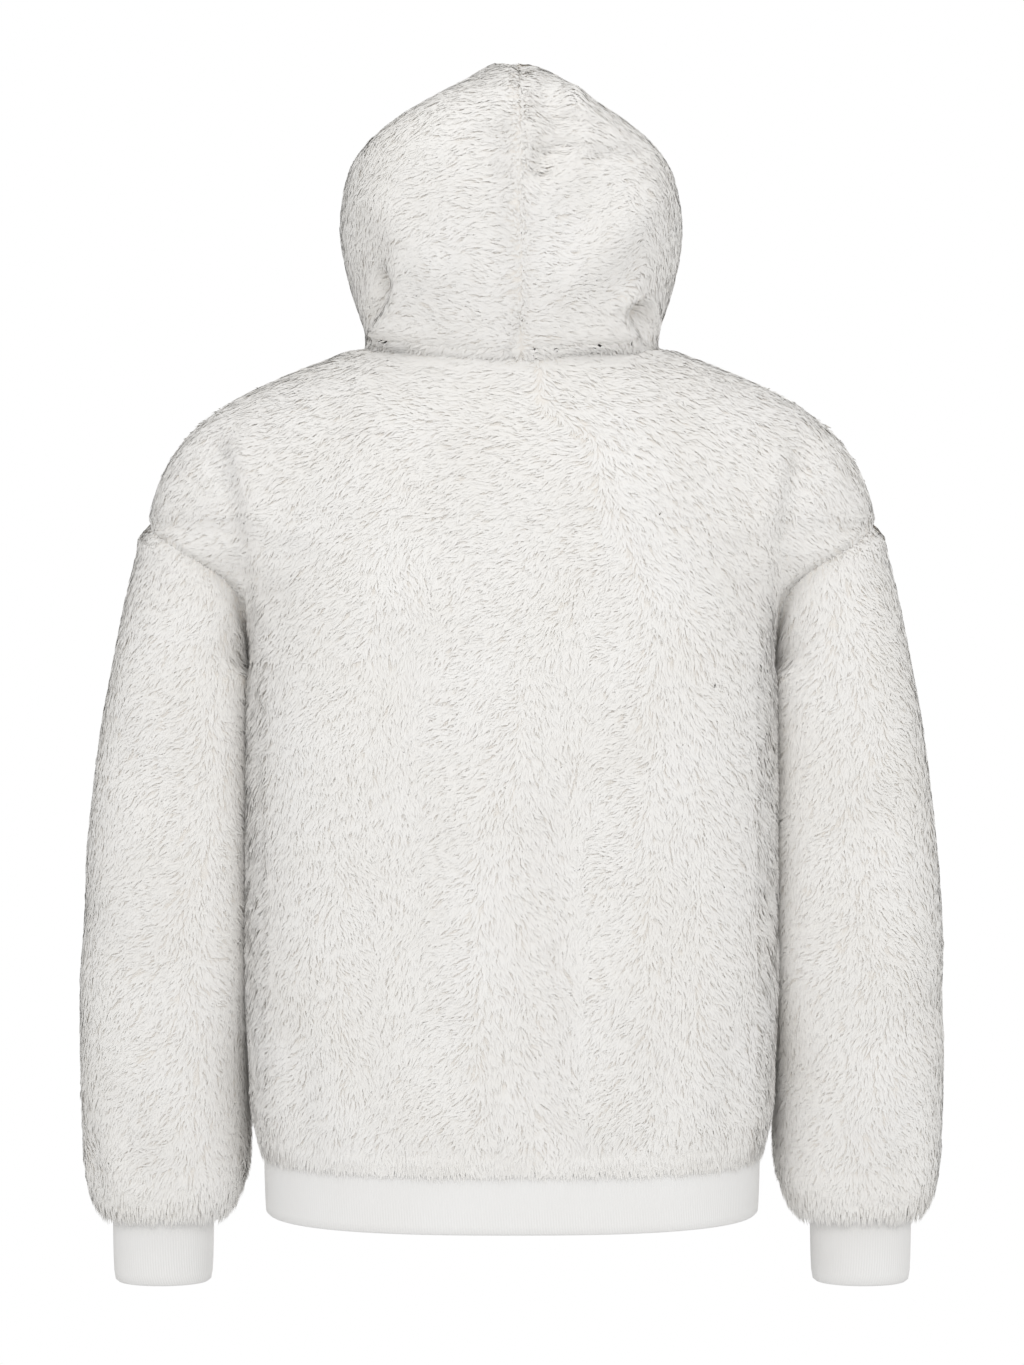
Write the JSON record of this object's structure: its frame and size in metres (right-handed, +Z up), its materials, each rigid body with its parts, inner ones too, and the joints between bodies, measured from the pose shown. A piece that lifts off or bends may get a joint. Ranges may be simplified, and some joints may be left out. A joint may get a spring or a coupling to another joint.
{
  "type": "hooded sweatshirt",
  "caption": "Hooded pullover sweatshirt in long-pile fleece with dropped shoulders, rib cuffs and a rib hem band, filled out as worn with the hood up.",
  "frame": {"origin": "middle of the neckline, level with the top of the shoulders beside the neck, where the wearer's shoulders hold it up", "axes": "+Z up, +Y out of the garment's back, +X to the wearer's left"},
  "size_m": [0.6972, 0.2951, 0.9793],
  "materials": {
    "fleece": "off-white long pile, matt with a soft sheen",
    "rib": "off-white fine rib knit, matt"
  },
  "bodies": {
    "root": {"back": "fleece", "front": "fleece", "sleeve_left": "fleece", "sleeve_right": "fleece", "hood_left": "fleece", "hood_right": "fleece", "hem_band": "rib", "cuff_left": "rib", "cuff_right": "rib"}
  },
  "joints": []
}
